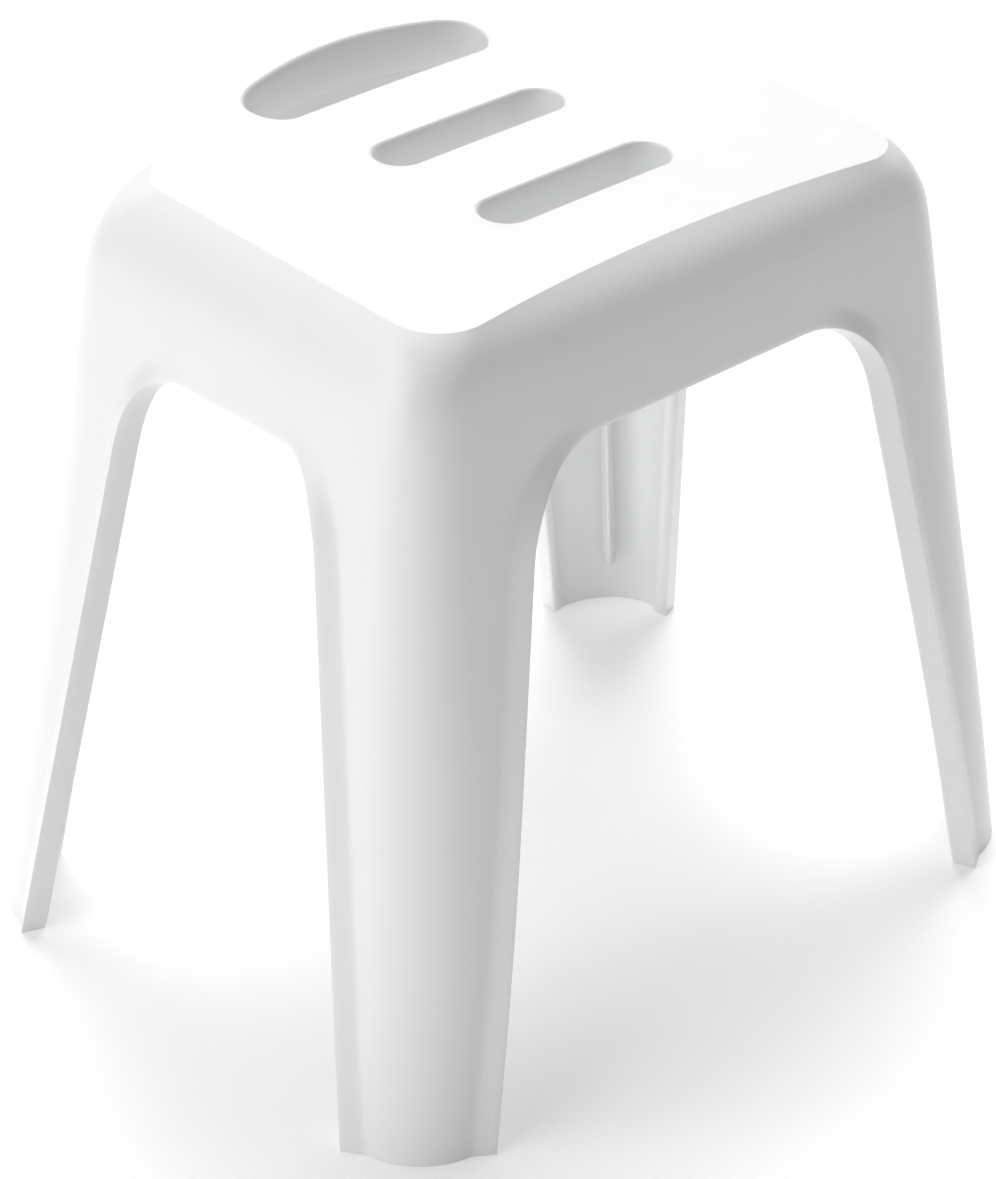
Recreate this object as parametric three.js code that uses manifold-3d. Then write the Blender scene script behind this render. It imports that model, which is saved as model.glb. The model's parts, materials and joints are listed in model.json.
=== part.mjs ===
// Shower stool, a one-piece injection moulding.
//
// The real stool is one skin of white polypropylene with nothing fastened to it. Here the
// moulding is set out as its working zones, each a closed solid of its own: the seat deck,
// the four aprons below its rim, the four corner legs with the returned lips of their
// openings, the stiffening fin inside each leg, the collars that line the hand hole and
// the two drain slots, and the plain ribs that cross under the deck. Neighbouring zones
// keep a hairline apart so that each one stays a separate body.
//
// Millimetres, +Z up. The origin is on the floor at the middle of the footprint. +X is the
// stool's right, -Y its front edge, and +Y the back edge with the hand hole.

import * as THREE from 'three';
import { mergeVertices } from 'three/addons/utils/BufferGeometryUtils.js';
import Module from 'manifold-3d';

const wasm = await Module();
wasm.setup();

// ---------------------------------------------------------------- driving dimensions

const WALL = 4;                // wall of the moulding
const HAIRLINE = 0.3;          // gap between neighbouring zones
const SEAT_HEIGHT = 430;       // top of the deck above the floor at mid depth
const SEAT_SLOPE = 0.0387;     // rise of the deck toward the back, per millimetre
const BOW_START = 60;          // the deck starts to sweep up to the hand bow here
const BOW_SWEEP = 0.00102;     // how fast it sweeps up behind that line
const CENTRE_Y = 2.5;          // the seat is drawn about a line this far from the origin

const FLARE = 7;               // how far a leg's edge kicks out from its face
const FLARE_LENGTH = 11;       // the kick fades out over this distance
const FLARE_TOP = [300, 345];  // and dies away between these heights
const LIP_DEPTH = 15;          // width of the lip returned inward along each opening
const LIP_THICKNESS = 9;

const SLOT_HALF_LENGTH = 60;
const SLOT_RADIUS = 13.7;
const SLOT_ROWS = [-40, 38];
const COLLAR_WALL = 3;
const COLLAR_DEPTH = 27;

const HAND_HOLE = { front: 99, back: 143, half: 77, straight: 61 };
const HAND_RIM_RADIUS = 224;

const DECK_OUTLINE = { half: 144, front: -97, back: 112, corner: 12, shoulder: 32, ease: 24 };
const APRON_HALF_X = 100;      // front and back aprons end here, the legs begin
const APRON_HALF_Y = 50;       // side aprons end here

const FIN_THICKNESS = 6;
const FIN_DEPTH = 10;
const FIN_FOOT = 28;           // the fins stop this far above the floor
const FIN_HEAD = 372;          // and run up to here
const FIN_LEAN_Z = 340;        // their lean is that of the leg's corner up to here
const FIN_BLADE = 90;
const RIB_THICKNESS = 2.5;
const RIB_DEPTH = 16;
const RIB_HALF_LENGTH = 138;
const RIB_ROWS = { near: -74, mid: -1, far: 74 };
const RIB_COLUMNS = { left: -100, right: 100 };

// The outer skin at a run of heights: half width at mid depth, widening per millimetre of
// depth, front face, back face at its middle and near its corners, front and back corner
// radius.
const SKIN = [
  { z: 0, side: 235.0, taper: 0.047, front: 173.0, back: 178.0, backEnd: 178.0, r: 43, rBack: 43 },
  { z: 80, side: 224.6, taper: 0.044, front: 166.5, back: 172.5, backEnd: 170.1, r: 43, rBack: 43 },
  { z: 160, side: 214.0, taper: 0.040, front: 157.9, back: 167.0, backEnd: 162.2, r: 43, rBack: 43 },
  { z: 240, side: 203.5, taper: 0.036, front: 147.6, back: 162.5, backEnd: 154.3, r: 41, rBack: 42 },
  { z: 300, side: 195.6, taper: 0.033, front: 139.8, back: 158.8, backEnd: 148.4, r: 37, rBack: 39 },
  { z: 340, side: 190.2, taper: 0.030, front: 134.9, back: 156.2, backEnd: 144.2, r: 34, rBack: 34 },
  { z: 370, side: 185.8, taper: 0.028, front: 131.8, back: 154.7, backEnd: 140.0, r: 32, rBack: 30 },
  { z: 392, side: 181.8, taper: 0.025, front: 129.1, back: 153.6, backEnd: 135.2, r: 30, rBack: 26 },
  { z: 408, side: 176.9, taper: 0.021, front: 126.4, back: 152.7, backEnd: 129.4, r: 29, rBack: 22 },
  { z: 419, side: 171.4, taper: 0.018, front: 122.4, back: 151.7, backEnd: 122.8, r: 28, rBack: 18 },
  { z: 426, side: 166.2, taper: 0.015, front: 117.4, back: 150.1, backEnd: 116.4, r: 27, rBack: 16 },
  { z: 430, side: 162.3, taper: 0.013, front: 113.5, back: 147.5, backEnd: 112.0, r: 27, rBack: 14 },
];

// Where the legs' edges run at the floor, and how they draw in going up.
const FRONT_TIP = { floor: 179, draw: 0.179 };
const BACK_TIP = { floor: 189, draw: 0.185 };
const SIDE_TIP = { front: -125, back: 128, draw: 0.168 };

const FRONT_ARCH = { top: 355, flat: 70, foot: 179, knee: 124, kneeZ: 306 };
const BACK_ARCH = { top: 352, flat: 74, foot: 189, knee: 132, kneeZ: 306 };
const SIDE_ARCH = { top: 352, flat: 38, foot: 126.5, knee: 75, kneeZ: 306, shift: 1.5 };

const WHITE = { color: 0xf6f7f7, roughness: 0.32, metalness: 0.0 };

// ---------------------------------------------------------------- solids

function toSolid(geometry) {
  const bare = geometry.clone();
  bare.deleteAttribute('normal');
  bare.deleteAttribute('uv');
  const merged = mergeVertices(bare, 1e-4);
  return new wasm.Manifold(new wasm.Mesh({
    numProp: 3,
    vertProperties: new Float32Array(merged.attributes.position.array),
    triVerts: new Uint32Array(merged.index.array),
  }));
}

function toGeometry(solid) {
  const mesh = solid.getMesh();
  const geometry = new THREE.BufferGeometry();
  geometry.setAttribute('position', new THREE.BufferAttribute(new Float32Array(mesh.vertProperties), 3));
  geometry.setIndex(new THREE.BufferAttribute(new Uint32Array(mesh.triVerts), 1));
  geometry.computeVertexNormals();
  return geometry;
}

function box(x0, x1, y0, y1, z0, z1) {
  const geometry = new THREE.BoxGeometry(x1 - x0, y1 - y0, z1 - z0);
  geometry.translate((x0 + x1) / 2, (y0 + y1) / 2, (z0 + z1) / 2);
  return toSolid(geometry);
}

// A plan shape raised between two heights.
function upright(shape, z0, z1, segments = 10) {
  const geometry = new THREE.ExtrudeGeometry(shape, {
    depth: z1 - z0, bevelEnabled: false, curveSegments: segments,
  });
  geometry.translate(0, 0, z0);
  return toSolid(geometry);
}

// ---------------------------------------------------------------- the outer skin

function smoothstep(a, b, t) {
  return THREE.MathUtils.smoothstep(t, a, b);
}

function deckHeight(y) {
  const sweep = Math.max(0, y - BOW_START);
  return SEAT_HEIGHT + SEAT_SLOPE * y + BOW_SWEEP * sweep * sweep;
}

function skinAt(z) {
  const last = SKIN.length - 1;
  let i = 0;
  while (i < last - 1 && z > SKIN[i + 1].z) i += 1;
  const a = SKIN[i];
  const b = SKIN[i + 1];
  const t = THREE.MathUtils.clamp((z - a.z) / (b.z - a.z), 0, 1);
  const level = {};
  for (const key of Object.keys(a)) level[key] = a[key] + (b[key] - a[key]) * t;
  return level;
}

// Half of the plan outline at one level, from the middle of the front round to the middle
// of the back, as a closely spaced run of points.
const ROUND = 0.5523;          // handle length that makes a cubic curve a quarter circle
const STEPS = 40;              // points along each straight or gently bowed stretch
const BACK_BEND = 0.72;        // share of the half width, squared, where backEnd is met

function halfOutline(level) {
  const side = (y) => level.side + level.taper * y;
  const bend = (level.back - level.backEnd) / (level.side * level.side * BACK_BEND);
  const back = (x) => level.back - bend * x * x;

  const frontKnee = new THREE.Vector2(side(-level.front), -level.front);
  const frontEnd = new THREE.Vector2(frontKnee.x - level.r, -level.front);
  const sideStart = new THREE.Vector2(side(-level.front + level.r), -level.front + level.r);

  const endX = level.side - level.rBack;
  const slope = -2 * bend * endX;
  const kneeX = side(back(endX) + slope * level.rBack);
  const kneeY = back(endX) + slope * (kneeX - endX);
  const sideEnd = new THREE.Vector2(side(kneeY - level.rBack), kneeY - level.rBack);
  const backStart = new THREE.Vector2(endX, back(endX));

  const straight = (from, to) => new THREE.LineCurve(from, to).getPoints(STEPS);
  const corner = (from, knee, to) => new THREE.CubicBezierCurve(
    from, from.clone().lerp(knee, ROUND), to.clone().lerp(knee, ROUND), to).getPoints(STEPS);

  const points = [
    ...straight(new THREE.Vector2(0, -level.front), frontEnd).slice(0, -1),
    ...corner(frontEnd, frontKnee, sideStart).slice(0, -1),
    ...straight(sideStart, sideEnd).slice(0, -1),
    ...corner(sideEnd, new THREE.Vector2(kneeX, kneeY), backStart),
  ];
  for (let i = 1; i <= STEPS; i += 1) {
    const x = endX * (1 - i / STEPS);
    points.push(new THREE.Vector2(x, back(x)));
  }
  return points;
}

// Stations along the half outline. Each leg takes the same number of stations whatever its
// width, closer together beside its two edges where the flare is.
const EDGE_STATIONS = [0, 3.5, 7.5, 12];
const LEG_SPANS = 8;
const OPENING_SPANS = { front: 3, side: 4, back: 5 };

function stations(points, z) {
  const lengths = [0];
  for (let i = 1; i < points.length; i += 1) {
    lengths.push(lengths[i - 1] + points[i].distanceTo(points[i - 1]));
  }
  const total = lengths[lengths.length - 1];
  const firstWhere = (test) => lengths[points.findIndex(test)];
  const frontTip = FRONT_TIP.floor - FRONT_TIP.draw * z;
  const backTip = BACK_TIP.floor - BACK_TIP.draw * z;
  const sideFront = SIDE_TIP.front + SIDE_TIP.draw * z;
  const sideBack = SIDE_TIP.back - SIDE_TIP.draw * z;
  const marks = [
    frontTip,
    firstWhere((p) => p.x > 100 && p.y >= sideFront),
    firstWhere((p) => p.x > 100 && p.y >= sideBack),
    total - backTip,
  ];
  const pieces = [];
  const opening = (a, b, count) => {
    for (let i = 0; i < count; i += 1) pieces.push(a + ((b - a) * i) / count);
  };
  const leg = (a, b) => {
    const inner = EDGE_STATIONS[EDGE_STATIONS.length - 1];
    EDGE_STATIONS.slice(0, -1).forEach((s) => pieces.push(a + s));
    for (let i = 0; i < LEG_SPANS; i += 1) {
      pieces.push(a + inner + ((b - a - 2 * inner) * i) / LEG_SPANS);
    }
    [...EDGE_STATIONS].reverse().slice(0, -1).forEach((s) => pieces.push(b - s));
  };
  opening(0, marks[0], OPENING_SPANS.front);
  leg(marks[0], marks[1]);
  opening(marks[1], marks[2], OPENING_SPANS.side);
  leg(marks[2], marks[3]);
  opening(marks[3], total, OPENING_SPANS.back);
  pieces.push(total);
  return { lengths, pieces, marks };
}

function pointAt(points, lengths, s) {
  let i = 1;
  while (i < points.length - 1 && lengths[i] < s) i += 1;
  const t = (s - lengths[i - 1]) / Math.max(1e-6, lengths[i] - lengths[i - 1]);
  return points[i - 1].clone().lerp(points[i], THREE.MathUtils.clamp(t, 0, 1));
}

// How far the skin kicks out at a distance s along the outline: full across an opening,
// fading into the leg beside it, and nothing above the openings.
function flareAt(s, marks, z) {
  const reach = FLARE * (1 - smoothstep(FLARE_TOP[0], FLARE_TOP[1], z));
  const legs = [[marks[0], marks[1]], [marks[2], marks[3]]];
  for (const [a, b] of legs) {
    if (s < a || s > b) continue;
    const near = Math.min(s - a, b - s) / FLARE_LENGTH;
    return reach * Math.max(0, 1 - near) ** 2;
  }
  return reach;
}

// The whole plan ring at height z, set in by the given distance all round.
function ring(z, inset) {
  const level = skinAt(z);
  const points = halfOutline(level);
  const { lengths, pieces, marks } = stations(points, z);
  const half = pieces.map((s) => {
    const p = pointAt(points, lengths, s);
    const before = pointAt(points, lengths, Math.max(0, s - 1));
    const after = pointAt(points, lengths, Math.min(lengths[lengths.length - 1], s + 1));
    const along = after.sub(before).normalize();
    const out = flareAt(s, marks, z) - inset;
    return new THREE.Vector2(p.x + along.y * out, p.y - along.x * out);
  });
  half[0].x = 0;
  half[half.length - 1].x = 0;
  const mirrored = half.slice(1, -1).reverse().map((p) => new THREE.Vector2(-p.x, p.y));
  return [...half, ...mirrored];
}

// The seat's side profile as a slab that everything above the deck is cut away by.
function underDeck(drop) {
  const profile = new THREE.Shape();
  const reach = 260;
  profile.moveTo(-reach, -50);
  profile.lineTo(-reach, deckHeight(-reach) - drop);
  for (let y = BOW_START - 160; y <= 200; y += y < BOW_START ? 80 : 20) {
    profile.lineTo(y, deckHeight(y) - drop);
  }
  profile.lineTo(reach, deckHeight(reach) - drop);
  profile.lineTo(reach, -50);
  const geometry = new THREE.ExtrudeGeometry(profile, { depth: 2 * reach, bevelEnabled: false });
  geometry.rotateX(Math.PI / 2);
  geometry.rotateZ(Math.PI / 2);
  geometry.translate(-reach, 0, 0);
  return toSolid(geometry);
}

// A solid filling the skin, set in all round and from the top. A plain cylinder supplies
// the mesh; its rings are moved onto the skin's rings.
function skinSolid(inset, footZ = 0) {
  const levels = SKIN.map((row) => row.z);
  const probe = ring(0, 0);
  const count = probe.length;
  const body = new THREE.CylinderGeometry(1, 1, levels.length, count, levels.length, false);
  body.deleteAttribute('normal');
  body.deleteAttribute('uv');
  const geometry = mergeVertices(body, 1e-4);
  const rings = levels.map((z) => ring(z, inset));
  const position = geometry.attributes.position;
  for (let i = 0; i < position.count; i += 1) {
    const x = position.getX(i);
    const z = position.getZ(i);
    const row = Math.round(position.getY(i) + levels.length / 2);
    const top = row >= levels.length;
    const level = levels[Math.min(row, levels.length - 1)];
    const turn = Math.atan2(x, z) / (2 * Math.PI);
    const index = Math.round((turn < 0 ? turn + 1 : turn) * count) % count;
    const central = Math.hypot(x, z) < 0.5;
    const p = central ? new THREE.Vector2(0, 0) : rings[Math.min(row, levels.length - 1)][index];
    const tilt = (deckHeight(p.y) - SEAT_HEIGHT) * smoothstep(330, 415, level);
    const sink = inset * smoothstep(340, 430, level);
    let height = level + tilt - sink;
    if (top) height += 30;
    if (row === 0) height = footZ;
    position.setXYZ(i, p.x, p.y, height);
  }
  return toSolid(geometry).intersect(underDeck(inset));
}

// ---------------------------------------------------------------- openings

// An arched opening as a shape, feet splayed and upper corners rounded.
function archShape(arch, grow) {
  const shape = new THREE.Shape();
  const low = -20;
  const lean = (arch.foot - arch.knee) / arch.kneeZ;
  const foot = arch.foot + grow - low * lean;
  const knee = arch.knee + grow;
  const top = arch.top + grow;
  const flat = arch.flat + grow * 0.5;
  const shift = arch.shift ?? 0;
  const handle = (top - arch.kneeZ) * 0.62;
  shape.moveTo(shift - foot, low);
  shape.lineTo(shift + foot, low);
  shape.lineTo(shift + knee, arch.kneeZ);
  shape.bezierCurveTo(shift + knee - lean * handle, arch.kneeZ + handle,
    shift + flat + (knee - flat) * 0.55, top, shift + flat, top);
  shape.lineTo(shift - flat, top);
  shape.bezierCurveTo(shift - flat - (knee - flat) * 0.55, top,
    shift - knee + lean * handle, arch.kneeZ + handle, shift - knee, arch.kneeZ);
  shape.closePath();
  return shape;
}

// The opening cut straight through one face: front, back, left or right.
function archCutter(arch, grow, face) {
  const reach = 330;
  const geometry = new THREE.ExtrudeGeometry(archShape(arch, grow), {
    depth: reach, bevelEnabled: false, curveSegments: 7,
  });
  geometry.rotateX(Math.PI / 2);
  if (face === 'back') geometry.translate(0, reach, 0);
  if (face === 'left' || face === 'right') geometry.rotateZ(Math.PI / 2);
  if (face === 'left') geometry.translate(-reach, 0, 0);
  return toSolid(geometry);
}

const FACES = [
  { face: 'front', arch: FRONT_ARCH },
  { face: 'back', arch: BACK_ARCH },
  { face: 'left', arch: SIDE_ARCH },
  { face: 'right', arch: SIDE_ARCH },
];

function slotShape(y, grow) {
  const r = SLOT_RADIUS + grow;
  const reach = SLOT_HALF_LENGTH - SLOT_RADIUS;
  const shape = new THREE.Shape();
  shape.moveTo(-reach, y - r);
  shape.lineTo(reach, y - r);
  shape.absarc(reach, y, r, -Math.PI / 2, Math.PI / 2, false);
  shape.lineTo(-reach, y + r);
  shape.absarc(-reach, y, r, Math.PI / 2, (3 * Math.PI) / 2, false);
  return shape;
}

// The hand hole: straight toward the seat, bowed toward the back, with rounded ends.
function handShape(grow) {
  const { front, back, half, straight } = HAND_HOLE;
  const f = front - grow;
  const b = back + grow;
  const h = half + grow;
  const rim = 63 + grow * 0.4;
  const rimY = b - (rim * rim) / (2 * HAND_RIM_RADIUS);
  const shape = new THREE.Shape();
  shape.moveTo(-straight, f);
  shape.lineTo(straight, f);
  shape.bezierCurveTo(straight + 9, f, h, f + 9, h, f + 19);
  shape.bezierCurveTo(h, f + 27, rim + 9, rimY - 3, rim, rimY);
  for (let i = 1; i < 8; i += 1) {
    const x = rim * (1 - i / 4);
    shape.lineTo(x, b - (x * x) / (2 * HAND_RIM_RADIUS));
  }
  shape.lineTo(-rim, rimY);
  shape.bezierCurveTo(-rim - 9, rimY - 3, -h, f + 27, -h, f + 19);
  shape.bezierCurveTo(-h, f + 9, -straight - 9, f, -straight, f);
  return shape;
}

// ---------------------------------------------------------------- the moulding

const outer = skinSolid(0);
const hollow = skinSolid(WALL, -10);
const hollowClear = skinSolid(WALL + HAIRLINE, -10);
const hollowFins = skinSolid(WALL + FIN_DEPTH, -10);
const hollowLips = skinSolid(LIP_DEPTH, -10);

const holes = [
  ...SLOT_ROWS.map((y) => upright(slotShape(y, 0), 300, 500, 8)),
  upright(handShape(0), 300, 500, 6),
].reduce((all, one) => all.add(one));

const arches = FACES.map(({ face, arch }) => archCutter(arch, 0, face)).reduce((a, b) => a.add(b));
const archBands = FACES.map(({ face, arch }) => archCutter(arch, LIP_THICKNESS, face))
  .reduce((a, b) => a.add(b));

const skin = outer.subtract(hollow);
const lips = outer.subtract(hollowLips).intersect(archBands);
const moulding = skin.add(lips).subtract(arches).subtract(holes);

// The deck's plan outline, grown a little when its neighbours are cut clear of it.
function deckOutline(grow) {
  const { half, front, back, corner, shoulder, ease } = DECK_OUTLINE;
  const h = half + grow;
  const shape = new THREE.Shape();
  shape.moveTo(-h + corner, front - grow);
  shape.lineTo(h - corner, front - grow);
  shape.lineTo(h, front - grow + corner);
  shape.lineTo(h, back + grow - ease);
  shape.lineTo(h - shoulder, back + grow);
  shape.lineTo(-h + shoulder, back + grow);
  shape.lineTo(-h, back + grow - ease);
  shape.lineTo(-h, front - grow + corner);
  shape.closePath();
  return shape;
}

const deck = moulding.intersect(upright(deckOutline(0), 360, 480));
const skirt = moulding.subtract(upright(deckOutline(HAIRLINE), 360, 480));

const far = 400;
const clear = HAIRLINE / 2;
const ax = APRON_HALF_X;
const ay = APRON_HALF_Y;

const parts = [];

function addPart(name, solid) {
  const bodies = solid.decompose().filter((body) => body.volume() > 1);
  const whole = bodies.reduce((best, body) => (body.volume() > best.volume() ? body : best));
  const mesh = new THREE.Mesh(toGeometry(whole), new THREE.MeshStandardMaterial(WHITE));
  mesh.name = name;
  parts.push(mesh);
}

addPart('seat_deck', deck);
addPart('front_apron', skirt.intersect(box(-ax + clear, ax - clear, -far, 0, -5, far + 100)));
addPart('back_grip_apron', skirt.intersect(box(-ax + clear, ax - clear, 0, far, -5, far + 100)));
addPart('left_apron', skirt.intersect(box(-far, 0, -ay + clear, ay - clear, -5, far + 100)));
addPart('right_apron', skirt.intersect(box(0, far, -ay + clear, ay - clear, -5, far + 100)));

const CORNERS = [
  { name: 'front_left', x: -1, y: -1 },
  { name: 'front_right', x: 1, y: -1 },
  { name: 'back_left', x: -1, y: 1 },
  { name: 'back_right', x: 1, y: 1 },
];

function cornerBlock({ x, y }, fromX, fromY, z0, z1) {
  const xs = [x * fromX, x * far].sort((a, b) => a - b);
  const ys = [y * fromY, y * far].sort((a, b) => a - b);
  return box(xs[0], xs[1], ys[0], ys[1], z0, z1);
}

// A fin stands on the inside of each leg along the line of its outer corner. It is drawn
// as a leaning blade through the corner and trimmed to a shallow strip along the wall.
function fin(corner) {
  const cornerPoint = (level) => new THREE.Vector2(
    corner.x * (level.side + corner.y * level.taper * level.front - level.r * 0.3),
    corner.y > 0 ? level.backEnd - level.r * 0.3 : -level.front + level.r * 0.3);
  const rise = FIN_HEAD - FIN_FOOT;
  const foot = cornerPoint(skinAt(0));
  const lean = cornerPoint(skinAt(FIN_LEAN_Z)).sub(foot).divideScalar(FIN_LEAN_Z);
  const blade = new THREE.BoxGeometry(FIN_BLADE, FIN_THICKNESS, rise);
  blade.translate(0, 0, FIN_FOOT + rise / 2);
  blade.rotateZ(corner.x * corner.y * Math.PI / 4);
  blade.applyMatrix4(new THREE.Matrix4().makeShear(0, 0, 0, 0, lean.x, lean.y));
  blade.translate(foot.x, foot.y, 0);
  return toSolid(blade).intersect(hollowClear.subtract(hollowFins));
}

for (const corner of CORNERS) {
  const block = cornerBlock(corner, ax + clear, ay + clear, -5, far + 100);
  addPart(`leg_${corner.name}`, skirt.intersect(block));
}
for (const corner of CORNERS) {
  addPart(`leg_fin_${corner.name}`, fin(corner));
}

// Collars hang under the deck round each hole.
function collar(shapeAt, segments) {
  const tube = upright(shapeAt(COLLAR_WALL), 380, 460, segments)
    .subtract(upright(shapeAt(0), 370, 470, segments));
  return tube.intersect(hollowClear).subtract(underDeck(COLLAR_DEPTH));
}

addPart('near_slot_collar', collar((grow) => slotShape(SLOT_ROWS[0], grow), 8));
addPart('far_slot_collar', collar((grow) => slotShape(SLOT_ROWS[1], grow), 8));
addPart('hand_hole_collar', collar(handShape, 6));

// Plain ribs hang under the deck between the holes: three across, and two short ones on
// each side that join them.
const underSide = hollowClear.subtract(underDeck(WALL + RIB_DEPTH));
const half = RIB_THICKNESS / 2;

function rib(x0, x1, y0, y1) {
  return box(x0, x1, y0, y1, 380, 460).intersect(underSide);
}

for (const [place, y] of Object.entries(RIB_ROWS)) {
  addPart(`seat_rib_${place}`, rib(-RIB_HALF_LENGTH, RIB_HALF_LENGTH, y - half, y + half));
}
for (const [side, x] of Object.entries(RIB_COLUMNS)) {
  const bays = { near: [RIB_ROWS.near, RIB_ROWS.mid], far: [RIB_ROWS.mid, RIB_ROWS.far] };
  for (const [place, [from, to]] of Object.entries(bays)) {
    addPart(`seat_rib_${side}_${place}`,
      rib(x - half, x + half, from + half + HAIRLINE, to - half - HAIRLINE));
  }
}

const stool = new THREE.Group();
stool.add(...parts);
stool.position.y = -CENTRE_Y;
stool.updateMatrixWorld(true);

export default stool;
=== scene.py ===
"""A white one-piece shower stool: the visible moulding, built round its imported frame.

Everything is drawn in millimetres about the seat's own centre line, which lies a little in
front of the frame's origin, and is turned into metres of the frame when a mesh is made.
Only the right-hand half is drawn. The left-hand half is its mirror image.
"""
import functools
import json
import math

import bmesh
import bpy
import numpy as np
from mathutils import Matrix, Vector
from mathutils.geometry import delaunay_2d_cdt


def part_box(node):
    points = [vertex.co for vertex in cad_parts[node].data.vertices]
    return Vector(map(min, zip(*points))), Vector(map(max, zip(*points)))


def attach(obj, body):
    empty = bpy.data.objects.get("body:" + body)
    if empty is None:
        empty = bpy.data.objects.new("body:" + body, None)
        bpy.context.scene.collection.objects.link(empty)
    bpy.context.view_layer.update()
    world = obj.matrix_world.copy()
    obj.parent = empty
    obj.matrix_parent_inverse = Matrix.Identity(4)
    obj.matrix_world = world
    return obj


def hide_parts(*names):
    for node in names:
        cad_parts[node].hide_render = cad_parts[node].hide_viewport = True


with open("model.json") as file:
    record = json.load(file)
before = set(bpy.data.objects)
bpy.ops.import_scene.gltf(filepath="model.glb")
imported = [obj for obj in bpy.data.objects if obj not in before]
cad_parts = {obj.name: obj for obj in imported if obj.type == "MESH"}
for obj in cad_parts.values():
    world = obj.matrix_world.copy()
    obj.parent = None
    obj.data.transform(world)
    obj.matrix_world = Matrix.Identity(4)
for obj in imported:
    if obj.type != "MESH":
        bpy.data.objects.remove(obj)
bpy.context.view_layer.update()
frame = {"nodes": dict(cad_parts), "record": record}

MM = 0.001
MIRROR = np.array((-1.0, 1.0, 1.0))
WELD_DISTANCE = 2e-6            # metres

# ---------------------------------------------------------------- sizes of the moulding

SEAT_CENTRE_Y = 2.5             # the drawing's centre line stands this far from the origin
WALL = 4.0
SIDE_GROWTH = 0.72              # share of the half width, squared, where the bow meets its end
QUARTER = 0.5523                # handle length that makes a cubic a quarter circle

BOW_START = 60.0                # behind this line the seat sweeps up to the hand bow
BOW_SWEEP = 0.00102
SEAT_EASE = (330.0, 415.0)      # the skin takes up the seat's slope between these heights
WALL_EASE = (330.0, 385.0)      # and its wall's thickness turns from level to square to it
CROWN = 2.2                     # the seat falls by this much from its middle to its sides
CROWN_HALF = 160.0
CROWN_HEIGHTS = (385.0, 425.0)  # and the skin follows it between these heights
MITRE_FADE = (3.0, 4.2)         # turns round the outline over which the mitre fades
FRONT_CORNER = 1.5              # the turns at the middles of the two corners
BACK_CORNER = 3.5

# Height, half width at mid depth, widening toward the back, front face beside its corners
# and how far its middle stands behind that, back face at its middle and at its ends, and
# the rounding of the front and back corners.
SECTIONS = np.array((
    (0, 235.0, 0.047, 173.0, 0.0, 178.0, 178.0, 43, 43),
    (80, 224.6, 0.044, 166.5, 0.0, 172.5, 170.1, 43, 43),
    (160, 214.0, 0.040, 157.9, 0.0, 167.0, 162.2, 43, 43),
    (240, 203.5, 0.036, 147.6, 0.0, 162.5, 154.3, 41, 42),
    (300, 195.6, 0.033, 139.8, 0.0, 158.8, 148.4, 37, 39),
    (340, 190.2, 0.030, 134.9, 0.0, 156.2, 144.2, 34, 34),
    (370, 185.8, 0.028, 131.8, 0.2, 154.7, 140.0, 32, 30),
    (392, 181.8, 0.025, 129.3, 0.6, 153.6, 135.2, 30, 26),
    (408, 176.9, 0.021, 126.9, 1.8, 152.7, 129.4, 29, 22),
    (419, 170.9, 0.018, 123.4, 4.0, 151.7, 122.8, 28, 18),
    (426, 165.2, 0.015, 119.0, 6.4, 150.1, 116.4, 27, 16),
    (430, 160.6, 0.013, 115.5, 7.8, 147.5, 112.0, 27, 14),
))
HEIGHT, HALF, WIDEN, FRONT, FRONT_BOW, BACK, BACK_END, FRONT_ROUND, BACK_ROUND = range(9)

# The openings' edges: half width at the floor and at the knee, where the straight leg ends,
# half width of the level crown, and its height.
KNEE_HEIGHT = 306.0
KNEE_BLEND = 60.0               # the edge's direction turns over this height below the knee
ARCH_HANDLES = (0.62, 0.55)     # handle lengths of the opening's upper corner
FRONT_OPENING = {"foot": 179.0, "knee": 124.0, "crown": 70.0, "top": 355.0}
BACK_OPENING = {"foot": 189.0, "knee": 132.0, "crown": 74.0, "top": 352.0}
SIDE_OPENING = {"foot": 126.5, "knee": 75.0, "crown": 38.0, "top": 352.0}
SIDE_MIDDLE = 1.5               # the side openings' middle line

FLARE = 7.0                     # the edge kicks out this far
FLARE_WIDTH = 12.0              # over this width of skin, as a flat flange
FLARE_BLEND = 3.0               # and leaves the skin over this much of it
FLARE_FADE = (0.2, 1.0)         # and dies away along the opening's upper corner
# The lip returned inward from an opening's edge: its flat leans toward the opening by tilt,
# and its rounded bead ends this far inside the skin.
LIP = {"tilt": 0.42, "bead_end": -9.0}
BACK_LIP = {"tilt": 0.12, "bead_end": -6.8}
LIP_FLAT_END = -4.8             # the flat runs inward to here, measured from the skin
BEAD_BACK = 5.8                 # the bead's far side stands this far behind the edge
BEAD_FOOT = 4.0                 # rounding of the bead's lower end
BEAD_FOOT_DEPTH = 0.2           # share of the bead's depth that is left at the floor
BEAD_FILLET_END = 8.0           # the fillet behind the bead has all but run out here

RIM_ROUND = 2.5                 # rounding of the holes' upper edges
COLLAR_WALL = 3.0
COLLAR_FOOT = 27.0              # depth of the collars below the seat
HAND_BEND = 448.0               # the hand hole's back edge falls by x * x / this
HAND_FRONT_ROUND = (16.0, 19.0)     # how far its front corner's rounding runs each way
HAND_SHOULDER = 14.0            # its back corner's rounding starts this far from its end

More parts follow.
